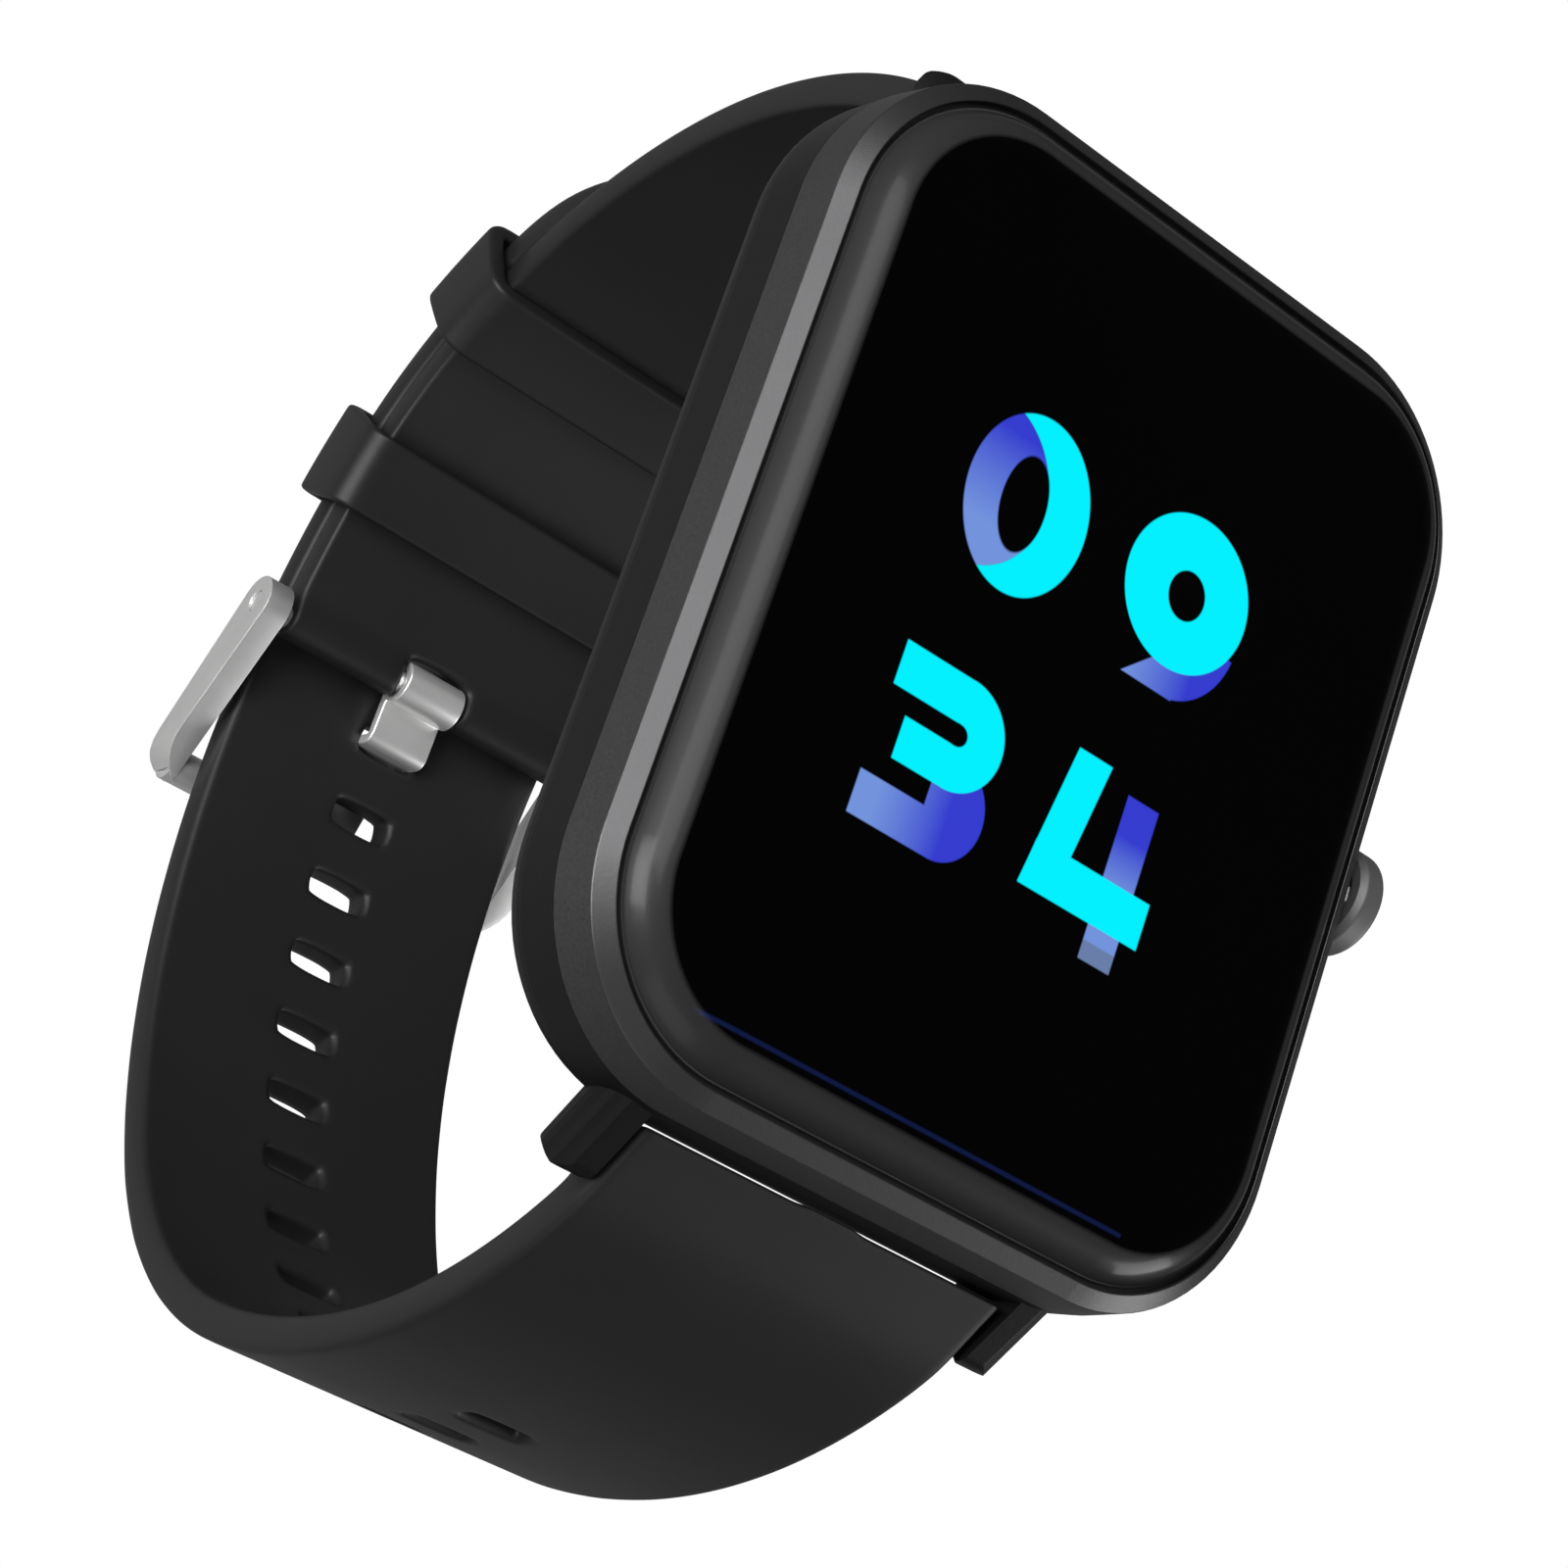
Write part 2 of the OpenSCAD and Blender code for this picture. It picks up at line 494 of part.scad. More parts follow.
module buckle_tongue() color([0.8, 0.8, 0.8]) difference() {
    tongue_t = 0.55;
    slope = tan(20);
    top_z = hinge_at[1] - curl_r + tongue_t;
    leg = [1.6, 1.6 + tongue_t];
    rest_y = bar_c[0] + front_r * sin(20);
    rest_z = bar_c[1] - front_r * cos(20) - 0.03;
    meet = asin((curl_r - tongue_t) / curl_r);
    curl = [for (i = [0 : 24]) let (a = -90 + (270 + meet) * i / 24)
        [hinge_at[0] + curl_r * cos(a), hinge_at[1] + curl_r * sin(a), 0]];
    across(tongue_w) polygon(rounded(concat(curl, [[leg[0], top_z, 0.7],
        [leg[0], rest_z + (leg[0] - rest_y) * slope, 0.12], [-4.7, rest_z + (-4.7 - rest_y) * slope, 0.1],
        [-4.5, rest_z + (-4.5 - rest_y) * slope - tongue_t / cos(20), 0.3],
        [leg[1], rest_z + (leg[1] - rest_y) * slope - tongue_t / cos(20), 0.65],
        [leg[1], top_z - tongue_t, 0.12]])));
    at_hinge() x_rod(hinge_r + running, -20, 20);
}

seat() cover_glass();
seat() glass_adhesive();
seat() display_panel();
seat() display_flex();
seat() case_frame();
seat() inner_carrier();
seat() screw_inserts();
seat() main_board();
seat() processor();
seat() shield_can();
seat() motion_sensor();
seat() battery();
seat() battery_lead();
seat() vibration_motor();
seat() antenna_strip();
seat() case_gasket();
seat() rear_case();
seat() rear_screws();
seat() sensor_window();
seat() sensor_board();
seat() sensor_leds();
seat() light_detector();
seat() charge_contacts();
seat() crown_tube();
seat() crown_spring();
seat() crown_washer();
seat() crown_cap();
seat() crown_stem();
seat() crown_o_ring();
seat() crown_clip();
seat() side_switch();
seat() strap_hole_side();
seat() strap_buckle_side();
seat() keeper_fixed();
seat() keeper_sliding();
seat() bar_tube_6();
seat() bar_spring_6();
seat() bar_pin_6_left();
seat() bar_pin_6_right();
seat() bar_tube_12();
seat() bar_spring_12();
seat() bar_pin_12_left();
seat() bar_pin_12_right();
seat() buckle_frame();
seat() buckle_pin();
seat() buckle_tongue();
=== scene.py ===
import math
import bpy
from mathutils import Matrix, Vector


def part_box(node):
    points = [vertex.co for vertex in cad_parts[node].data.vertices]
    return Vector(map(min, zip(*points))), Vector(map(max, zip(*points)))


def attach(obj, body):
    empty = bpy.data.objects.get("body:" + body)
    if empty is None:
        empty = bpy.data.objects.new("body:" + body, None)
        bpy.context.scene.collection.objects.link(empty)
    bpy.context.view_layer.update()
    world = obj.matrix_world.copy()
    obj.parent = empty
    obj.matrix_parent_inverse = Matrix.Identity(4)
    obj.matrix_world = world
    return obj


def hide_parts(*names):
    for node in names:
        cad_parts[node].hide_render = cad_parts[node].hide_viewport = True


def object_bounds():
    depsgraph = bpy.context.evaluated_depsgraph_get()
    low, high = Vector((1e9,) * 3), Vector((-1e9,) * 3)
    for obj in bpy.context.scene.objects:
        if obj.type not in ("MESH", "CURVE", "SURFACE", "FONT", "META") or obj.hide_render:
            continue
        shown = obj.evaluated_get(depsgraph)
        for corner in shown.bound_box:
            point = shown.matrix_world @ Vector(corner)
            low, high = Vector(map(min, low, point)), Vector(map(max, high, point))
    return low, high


bl_info = {
    "name": "Square smartwatch",
    "version": (1, 0, 0),
    "blender": (4, 5, 0),
    "location": "View3D > Sidebar > Watch",
    "description": "Dresses a square smartwatch with its silicone strap, buckle, dial and finishes",
    "category": "Object",
}

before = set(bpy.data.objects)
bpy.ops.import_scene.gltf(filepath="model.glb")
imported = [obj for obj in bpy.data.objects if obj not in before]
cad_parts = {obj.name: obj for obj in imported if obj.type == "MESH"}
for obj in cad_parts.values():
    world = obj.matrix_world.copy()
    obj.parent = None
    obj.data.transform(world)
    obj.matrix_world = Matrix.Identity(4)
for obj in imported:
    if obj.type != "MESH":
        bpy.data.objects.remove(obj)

import bpy
from mathutils import Vector

cad_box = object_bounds()
MM = 0.001
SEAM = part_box("cover_glass")[1].z / MM - 1.2  # height of the glass seam, mm


# ---------------------------------------------------------------- user values
class WatchSizes(bpy.types.PropertyGroup):
    """Sizes of the soft and bent pieces, in metres."""

    strap_thickness: bpy.props.FloatProperty(
        name="Strap thickness", description="Thickness of each silicone half",
        default=0.0018, unit="LENGTH")
    strap_width: bpy.props.FloatProperty(
        name="Strap width", description="Width of the strap where it is fastened",
        default=0.0184, unit="LENGTH")
    lug_width: bpy.props.FloatProperty(
        name="Width at the lugs", description="Width of the strap between the lugs",
        default=0.0199, unit="LENGTH")
    slot_pitch: bpy.props.FloatProperty(
        name="Slot pitch", description="Distance from one slot to the next",
        default=0.00417, unit="LENGTH")
    keeper_wall: bpy.props.FloatProperty(
        name="Keeper wall", description="Thickness of the loops that hold the tail",
        default=0.001, unit="LENGTH")
    buckle_edge: bpy.props.FloatProperty(
        name="Buckle edge", description="Radius worn on to the edges of the buckle",
        default=0.00055, unit="LENGTH")


class WatchColours(bpy.types.PropertyGroup):
    """Colours of the finishes."""

    silicone: bpy.props.FloatVectorProperty(
        name="Silicone", description="Strap and keepers", subtype="COLOR",
        size=3, default=(0.0108, 0.0108, 0.0111))
    case_metal: bpy.props.FloatVectorProperty(
        name="Case metal", description="Frame round the glass", subtype="COLOR",
        size=3, default=(0.115, 0.115, 0.118))
    case_plastic: bpy.props.FloatVectorProperty(
        name="Case plastic", description="Rear case and lugs", subtype="COLOR",
        size=3, default=(0.0042, 0.0042, 0.0045))
    figures: bpy.props.FloatVectorProperty(
        name="Figures", description="Front strokes of the clock figures", subtype="COLOR",
        size=3, default=(0.0, 0.87, 1.0))
    figures_behind: bpy.props.FloatVectorProperty(
        name="Figures behind", description="Strokes that pass behind", subtype="COLOR",
        size=3, default=(0.035, 0.045, 0.62))
    buckle: bpy.props.FloatVectorProperty(
        name="Buckle", description="Satin steel of the buckle", subtype="COLOR",
        size=3, default=(0.76, 0.76, 0.755))


# ---------------------------------------------------------------- shader maths
class Wire:
    """A socket that adds Math nodes when it is used in an expression."""

    def __init__(self, finish, socket):
        self.finish = finish
        self.socket = socket

    def __add__(self, other):
        return self.finish.maths("ADD", self, other)

    def __sub__(self, other):
        return self.finish.maths("SUBTRACT", self, other)

    def __rsub__(self, other):
        return self.finish.maths("SUBTRACT", other, self)

    def __mul__(self, other):
        return self.finish.maths("MULTIPLY", self, other)

    def __truediv__(self, other):
        return self.finish.maths("DIVIDE", self, other)

    __radd__ = __add__
    __rmul__ = __mul__

    def least(self, other):
        return self.finish.maths("MINIMUM", self, other)

    def most(self, other):
        return self.finish.maths("MAXIMUM", self, other)

    def magnitude(self):
        return self.finish.maths("ABSOLUTE", self)

    def root(self):
        return self.finish.maths("SQRT", self)


class Finish:
    """A material built from nodes, read in Object coordinates."""

    def __init__(self, name):
        self.material = bpy.data.materials.new(name)
        self.material.use_nodes = True
        self.tree = self.material.node_tree
        self.shader = self.tree.nodes["Principled BSDF"]
        self.coordinates = self.node("ShaderNodeTexCoord", output="Object")

    def node(self, kind, settings=None, inputs=None, output=0):
        node = self.tree.nodes.new(kind)
        for key, value in (settings or {}).items():
            setattr(node, key, value)
        for key, value in (inputs or {}).items():
            self.join(value, node.inputs[key])
        return Wire(self, node.outputs[output])

    def join(self, value, socket):
        if isinstance(value, Wire):
            self.tree.links.new(value.socket, socket)
        elif socket.type == "RGBA" and len(value) == 3:
            socket.default_value = (*value, 1)
        else:
            socket.default_value = value

    def maths(self, operation, *values):
        return self.node("ShaderNodeMath", {"operation": operation}, dict(enumerate(values)))

    def set(self, **sockets):
        for key, value in sockets.items():
            self.join(value, self.shader.inputs[key.replace("_", " ")])

    def axes(self):
        """X, Y and Z in millimetres, with Z counted from the glass seam."""
        split = self.node("ShaderNodeSeparateXYZ", inputs={0: self.coordinates})
        parts = [Wire(self, out) / MM for out in split.socket.node.outputs]
        return parts[0], parts[1], parts[2] - SEAM

    def noise(self, size, detail=3.0, rough=0.5, stretch=(1, 1, 1)):
        """Noise from 0 to 1 whose cells are about size metres across."""
        where = self.node("ShaderNodeMapping",
                          inputs={"Vector": self.coordinates, "Scale": stretch})
        return self.node("ShaderNodeTexNoise", {"noise_dimensions": "3D"}, {
            "Vector": where, "Scale": 1 / size, "Detail": detail, "Roughness": rough})

    def blend(self, factor, low, high):
        return self.node("ShaderNodeMix", {"data_type": "RGBA"},
                         {0: factor, 6: low, 7: high}, output=2)

    def bump(self, height, depth):
        self.set(Normal=self.node("ShaderNodeBump", inputs={"Height": height, "Distance": depth}))

    def give(self, *nodes):
        """Puts the finish on CAD nodes, in their own slots."""
        for node in nodes:
            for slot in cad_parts[node].material_slots:
                slot.material = self.material


def shade(colour, factor):
    return tuple(min(1.0, part * factor) for part in colour)


def moulded(name, colour, roughness=0.5, grain=0.00012, depth=0.000004, specular=0.35,
            metallic=0.0):
    """Moulded, blasted or plated stock: a fine grain over a slow drift in tone and gloss."""
    finish = Finish(name)
    drift = finish.noise(0.004, 4)
    fine = finish.noise(grain, 2, 0.6)
    finish.set(Base_Color=finish.blend(drift, shade(colour, 0.88), shade(colour, 1.12)),
               Roughness=roughness - 0.05 + drift * 0.06 + fine * 0.04,
               Metallic=metallic, Specular_IOR_Level=specular)
    finish.bump(fine, depth)
    return finish


def turned(name, colour, roughness=0.25, along="X", metallic=1.0):
    """Drawn or brushed metal, its lines running along one axis."""
    finish = Finish(name)
    stretch = {"X": (0.03, 1, 1), "Y": (1, 0.03, 1), "Z": (1, 1, 0.03)}[along]
    lines = finish.noise(0.00012, 3, 0.6, stretch)
    drift = finish.noise(0.003, 3)
    finish.set(Base_Color=finish.blend(drift, shade(colour, 0.9), shade(colour, 1.05)),
               Roughness=roughness + lines * 0.1 + drift * 0.05, Metallic=metallic)
    finish.bump(lines, 0.000002)
    return finish


# ---------------------------------------------------------------- mesh helpers
def start():
    if bpy.context.object and bpy.context.object.mode != "OBJECT":
        bpy.ops.object.mode_set(mode="OBJECT")
    bpy.ops.object.select_all(action="DESELECT")


def shell_grid(name, rows, columns, gone, place):
    """A grid sheet without its gone cells, drawn up into a closed slab of two layers.

    place(row, column, layer) gives each point; layer 0 faces the wrist."""
    start()
    bpy.ops.mesh.primitive_grid_add(x_subdivisions=columns - 1, y_subdivisions=rows - 1, size=2)
    piece = bpy.context.object
    piece.name = name
    for vertex in piece.data.vertices:
        vertex.co = (round((vertex.co.x + 1) / 2 * (columns - 1)),
                     round((vertex.co.y + 1) / 2 * (rows - 1)), 0)
    bpy.ops.object.mode_set(mode="EDIT")
    bpy.ops.mesh.select_mode(type="FACE")
    bpy.ops.mesh.select_all(action="DESELECT")
    bpy.ops.object.mode_set(mode="OBJECT")
    for face in piece.data.polygons:
        face.select = (math.floor(face.center.y), math.floor(face.center.x)) in gone
    bpy.ops.object.mode_set(mode="EDIT")
    if gone:
        bpy.ops.mesh.delete(type="FACE")
    bpy.ops.mesh.select_all(action="SELECT")
    bpy.ops.mesh.extrude_region_move(TRANSFORM_OT_translate={"value": (0, 0, 1)})
    bpy.ops.object.mode_set(mode="OBJECT")
    for vertex in piece.data.vertices:
        column, row, layer = (round(part) for part in vertex.co)
        vertex.co = Vector(place(row, column, layer)) * MM
    return piece


def face_outwards(piece, merge=0.0):
    start()
    piece.select_set(True)
    bpy.context.view_layer.objects.active = piece
    bpy.ops.object.mode_set(mode="EDIT")
    bpy.ops.mesh.select_all(action="SELECT")
    if merge:
        bpy.ops.mesh.remove_doubles(threshold=merge)
    bpy.ops.mesh.normals_make_consistent(inside=False)
    bpy.ops.object.mode_set(mode="OBJECT")


def add_modifier(piece, kind, **settings):
    start()
    piece.select_set(True)
    bpy.context.view_layer.objects.active = piece
    bpy.ops.object.modifier_add(type=kind)
    modifier = piece.modifiers[-1]
    for key, value in settings.items():
        setattr(modifier, key, value)
    bpy.ops.object.modifier_apply(modifier=modifier.name)


def creased_rims(piece, reach, amount):
    """Keep the rims of the holes within reach of the middle line tighter than the outer edges."""
    mesh = piece.data
    crease = mesh.attributes.new("crease_edge", "FLOAT", "EDGE")
    walls = {}
    for face in mesh.polygons:
        for key in face.edge_keys:
            walls.setdefault(key, []).append(face)
    for edge in mesh.edges:
        first, second = (walls[edge.key] * 2)[:2]
        near = all(abs(mesh.vertices[end].co.x) < reach for end in edge.vertices)
        if near and first.normal.angle(second.normal) > math.radians(55):
            crease.data[edge.index].value = amount


def rounded_off(piece, levels=2):
    add_modifier(piece, "SUBSURF", levels=levels, render_levels=levels)
    bpy.ops.object.shade_smooth()


def finished(piece, finish, body, slot, *nodes):
    piece.data.materials.clear()
    piece.data.materials.append(finish.material)
    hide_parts(*nodes)
    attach(piece, body)


def copy_of(node, name):
    """A merged copy of a CAD node's mesh, its flat faces made whole, ready for its edges."""
    start()
    piece = bpy.data.objects.new(name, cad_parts[node].data.copy())
    bpy.context.scene.collection.objects.link(piece)
    piece.select_set(True)
    bpy.context.view_layer.objects.active = piece
    bpy.ops.mesh.customdata_custom_splitnormals_clear()
    bpy.ops.object.mode_set(mode="EDIT")
    bpy.ops.mesh.select_all(action="SELECT")
    bpy.ops.mesh.remove_doubles(threshold=0.000002)
    bpy.ops.mesh.dissolve_limited(angle_limit=math.radians(1))
    bpy.ops.object.mode_set(mode="OBJECT")
    return piece


# ---------------------------------------------------------------- strap curve
LUG_END = -8  # height below which the strap narrows, mm
NARROWING = 37  # drop over which it narrows, mm
STRAP_GAP = 0.2  # between the two halves where the tail lies over the other, mm


def down(degrees):
    """The direction, in Y and Z, that lies so many degrees round from straight down."""
    angle = math.radians(degrees)
    return Vector((math.sin(angle), -math.cos(angle)))


def strap_arcs():
    """The arcs of the strap's mid line: centre, radius, first and last angle, distance at the first."""
    turns = [(29, -129.7, -101.7), (36, -101.7, -81.4), (22, -81.4, -38.4), (38, -38.4, 19.7),
             (24, 19.7, 59.7), (34.5, 59.7, 128.8)]
    bottom = 3
    centres = {bottom: Vector((0.2, -17.8))}
    for i in (2, 1, 0):
        centres[i] = centres[i + 1] + down(turns[i][2]) * (turns[i + 1][0] - turns[i][0])
    for i in (4, 5):
        centres[i] = centres[i - 1] + down(turns[i][1]) * (turns[i - 1][0] - turns[i][0])
    arcs, at = [], math.radians(turns[bottom][1]) * turns[bottom][0]
    for i in (2, 1, 0):
        at -= math.radians(turns[i][2] - turns[i][1]) * turns[i][0]
    for i, (radius, first, last) in enumerate(turns):
        arcs.append((centres[i], radius, first, last, at))
        at += math.radians(last - first) * radius
    return arcs


ARCS = strap_arcs()


def distance_at(degrees):
    for centre, radius, first, last, at in ARCS:
        if first <= degrees <= last:
            return at + math.radians(degrees - first) * radius
    raise ValueError("the strap has no place at %g degrees" % degrees)


def on_curve(distance, out):
    """Point (Y, Z) that far along the strap's mid line and out from it, in millimetres."""
    for centre, radius, first, last, at in ARCS:
        angle = first + math.degrees((distance - at) / radius)
        if angle <= last or last == ARCS[-1][3]:
            return centre + down(angle) * (radius + out)


def width_at(z, sizes):
    """Half width of the strap at a height below the seam: it narrows away from the lugs."""
    share = min(1.0, max(0.0, (LUG_END - z) / NARROWING))
    return (sizes.lug_width + share * (sizes.strap_width - sizes.lug_width)) / 2 / MM


def spread(first, last, step):
    """Places from first up to, but not at, last, in even steps of about the given size."""
    count = max(1, round(abs(last - first) / step))
    return [first + (last - first) * i / count for i in range(count)]


# lengthways lines of the hole side: shares of its half width, but the five at the slots in mm
SLOT_REACH = 1.8
COLUMNS = [-1.002, -0.935, -0.83, -0.6, -0.33, -SLOT_REACH, -0.9, 0.0, 0.9, SLOT_REACH,
           0.33, 0.6, 0.83, 0.935, 1.002]
SLOT_LINES = range(5, 10)
SLOT_CELLS = SLOT_LINES[:-1]
SLOT_HALF = 0.76  # half the slot's width before its rim is rounded, mm
SLOT_AT = 1.86  # place of the first slot counted, along the mid line, mm
SLOTS_BEFORE, SLOTS_AFTER = 13, 4  # slots on either side of that one
SLOT_CORNER = 1.62  # reach of the slot's corners, drawn in to round its ends, mm
CORNER_LEAN = 0.16  # how far they are drawn towards the slot's middle, as a share
ROW_STEP = 1.9  # rows of the hole side away from its slots, mm
TAIL_TURN = 60.5  # where the tail's rounded tip begins, degrees
TIP_TURNS = (0, 14, 28, 42, 55, 66, 75, 81)  # its rows, degrees round the tip
NOTCH_TURN = 10.05  # where the notch round the buckle pin ends, degrees
LAST_TURN = 116  # where the 12 o'clock end begins, degrees


def silicone_finish():
    finish = Finish("silicone")
    colour = tuple(bpy.context.scene.watch_colours.silicone)
    drift = finish.noise(0.009, 4)
    skin = finish.noise(0.00016, 3, 0.55)
    dust = finish.noise(0.0009, 5, 0.7)
    cloud = drift * 0.6 + dust * 0.4
    finish.set(Base_Color=finish.blend(cloud, shade(colour, 0.8), shade(colour, 1.25)),
               Roughness=0.4 + drift * 0.08 + skin * 0.05,
               Specular_IOR_Level=0.26)
    finish.bump(skin, 0.000003)
    return finish


class WATCH_OT_strap_hole_side(bpy.types.Operator):
    """Model the 6 o'clock half of the strap, with its row of slots and its rounded tail"""

    bl_idname = "watch.strap_hole_side"
    bl_label = "Strap, hole side"

    def execute(self, context):
        sizes = context.scene.watch_sizes
        thick, pitch = sizes.strap_thickness / MM, sizes.slot_pitch / MM
        tip_radius = sizes.strap_width / 2 / MM
        stations = [((-23.02, -7.0), (-23.02, -4.1)), ((-23.15, -7.4), (-23.2, -4.22)),
                    ((-23.9, -8.15), (-24.1, -5.02)), ((-24.6, -8.4), (-25.4, -6.15))]
        at_lugs = width_at(LUG_END, sizes)
        rows = [(Vector(inner), Vector(outer), at_lugs, False) for inner, outer in stations]
        slots = [SLOT_AT - pitch * k for k in range(SLOTS_BEFORE, -SLOTS_AFTER - 1, -1)]
        marks = spread(distance_at(ARCS[0][2]), slots[0] - pitch / 2, ROW_STEP)
        gone = set()
        for middle in slots:
            first = len(rows) + len(marks) + 1
            gone.update((row, cell) for row in (first, first + 1) for cell in SLOT_CELLS)
            marks += [middle - pitch / 2, middle - SLOT_HALF, middle, middle + SLOT_HALF]
        tail = distance_at(TAIL_TURN)
        marks += spread(slots[-1] + pitch / 2, tail, ROW_STEP)
        cut = {middle + side for middle in slots for side in (-SLOT_HALF, SLOT_HALF)}
        for mark in marks:
            inner = on_curve(mark, 0)
            rows.append((inner, on_curve(mark, thick), width_at(inner.y, sizes), mark in cut))
        tip_start = len(rows)
        for turn in TIP_TURNS:
            mark = tail + tip_radius * math.sin(math.radians(turn))
            rows.append((on_curve(mark, 0), on_curve(mark, thick),
                         tip_radius * math.cos(math.radians(turn)), False))

        def place(row, column, layer):
            inner, outer, half, slot_end = rows[row]
            share = COLUMNS[column]
            point = outer if layer else inner
            if column not in SLOT_LINES:
                x = share * half
            elif row >= tip_start:
                x = share / tip_radius * half
            elif slot_end and abs(share) == SLOT_REACH:
                x = math.copysign(SLOT_CORNER, share)
                middle = rows[row + 1] if (row, SLOT_CELLS[0]) in gone else rows[row - 1]
                point = point.lerp(middle[1] if layer else middle[0], CORNER_LEAN)
            else:
                x = share
            return (x, point.x, point.y + SEAM)

        strap = shell_grid("strap_with_slots", len(rows), len(COLUMNS), gone, place)
        face_outwards(strap)
        creased_rims(strap, 0.0022, 0.45)
        rounded_off(strap)
        finished(strap, silicone_finish(), "strap_6", "silicone", "strap_hole_side")
        return {"FINISHED"}


class WATCH_OT_strap_buckle_side(bpy.types.Operator):
    """Model the 12 o'clock half of the strap, with its notched end round the buckle pin"""

    bl_idname = "watch.strap_buckle_side"
    bl_label = "Strap, buckle side"

    def execute(self, context):
        sizes = context.scene.watch_sizes
        thick = sizes.strap_thickness / MM
        half = sizes.strap_width / 2 / MM
        nose = [((4.1, -53.72), (4.1, -54.28)), ((4.35, -53.25), (4.35, -54.75)),
                ((5.0, -52.97), (5.0, -55.04)), ((5.7, -53.1), (5.8, -55.1))]
        rows = [(Vector(inner), Vector(outer), half) for inner, outer in nose]
        notch_end, last = distance_at(NOTCH_TURN), distance_at(LAST_TURN)
        marks = [notch_end, notch_end + 0.45] + spread(notch_end + 1.2, last, 1.6) + [last]
        notch_cell = 5
        gone = {(row, notch_cell) for row in range(len(rows))}
        for mark in marks:
            inner = on_curve(mark, -STRAP_GAP - thick)
            rows.append((inner, on_curve(mark, -STRAP_GAP), width_at(inner.y, sizes)))
        end = [((24.5, -10.0), (26.45, -9.2)), ((23.7, -8.9), (26.0, -7.7)),
               ((23.25, -8.15), (25.45, -6.25)), ((23.0, -7.3), (24.1, -5.0)),
               ((22.98, -6.7), (23.02, -4.25))]
        at_lugs = width_at(LUG_END, sizes)
        rows += [(Vector(inner), Vector(outer), at_lugs) for inner, outer in end]
        # shares of the half width, but the notch's two sides in mm
        columns = [-1, -0.955, -0.83, -0.6, -0.27, -1.95, 1.95, 0.27, 0.6, 0.83, 0.955, 1]

        def place(row, column, layer):
            inner, outer, width = rows[row]
            share = columns[column]
            x = share if abs(share) > 1 else share * width
            point = outer if layer else inner
            return (x, point.x, point.y + SEAM)

        strap = shell_grid("strap_with_buckle_end", len(rows), len(columns), gone, place)
        face_outwards(strap)
        rounded_off(strap)
        finished(strap, silicone_finish(), "strap_12", "silicone", "strap_buckle_side")
        return {"FINISHED"}


KEEPERS = (  # name, CAD node, body, first and last turn round the strap's curve, degrees
    ("keeper_loop_fixed", "keeper_fixed", "strap_12", 16.8, 28.3),
    ("keeper_loop_sliding", "keeper_sliding", "loop_keeper", 43.6, 55.4))
KEEPER_ROOM = 0.25  # free space at the sides of and over the strap, mm
KEEPER_PLAY = 0.08  # free space under it, mm


class WATCH_OT_keepers(bpy.types.Operator):
    """Model the fixed and the sliding loop that hold the strap's tail"""

    bl_idname = "watch.keepers"
    bl_label = "Keepers"

    def execute(self, context):
        sizes = context.scene.watch_sizes
        thick, wall = sizes.strap_thickness / MM, sizes.keeper_wall / MM
        centre, radius = ARCS[4][0], ARCS[4][1]
        low, high = radius - STRAP_GAP - thick - KEEPER_PLAY, radius + thick + KEEPER_ROOM
        half, corner = sizes.strap_width / 2 / MM + KEEPER_ROOM, 0.55
        outline = []
        for turn, x, out in ((0, half, high), (90, -half, high), (180, -half, low), (270, half, low)):
            middle_x = x - math.copysign(corner, x)
            middle_out = out - corner if out == high else out + corner
            for step in (0, 30, 60, 90):
                angle = math.radians(turn + step)
                outline.append((middle_x + corner * math.cos(angle),
                                middle_out + corner * math.sin(angle)))
            if turn in (0, 180):
                sign = math.copysign(1, x)
                outline += [(sign * share * half, out) for share in (0.7, 0.35, 0, -0.35, -0.7)]
        outline.append(outline[0])
        shares = (0, 0.06, 0.2, 0.5, 0.8, 0.94, 1)
        for name, node, body, first, last in KEEPERS:
            start()
            bpy.ops.mesh.primitive_grid_add(x_subdivisions=len(outline) - 1,
                                            y_subdivisions=len(shares) - 1, size=2)
            loop = bpy.context.object
            loop.name = name
            for vertex in loop.data.vertices:
                x, out = outline[round((vertex.co.x + 1) / 2 * (len(outline) - 1))]
                share = shares[round((vertex.co.y + 1) / 2 * (len(shares) - 1))]
                point = centre + down(first + (last - first) * share) * out
                vertex.co = Vector((x, point.x, point.y + SEAM)) * MM
            face_outwards(loop, merge=0.000001)
            add_modifier(loop, "SOLIDIFY", thickness=wall * MM, offset=1.0, use_even_offset=True)
            face_outwards(loop)
            rounded_off(loop)
            finished(loop, silicone_finish(), body, "silicone", node)
        return {"FINISHED"}


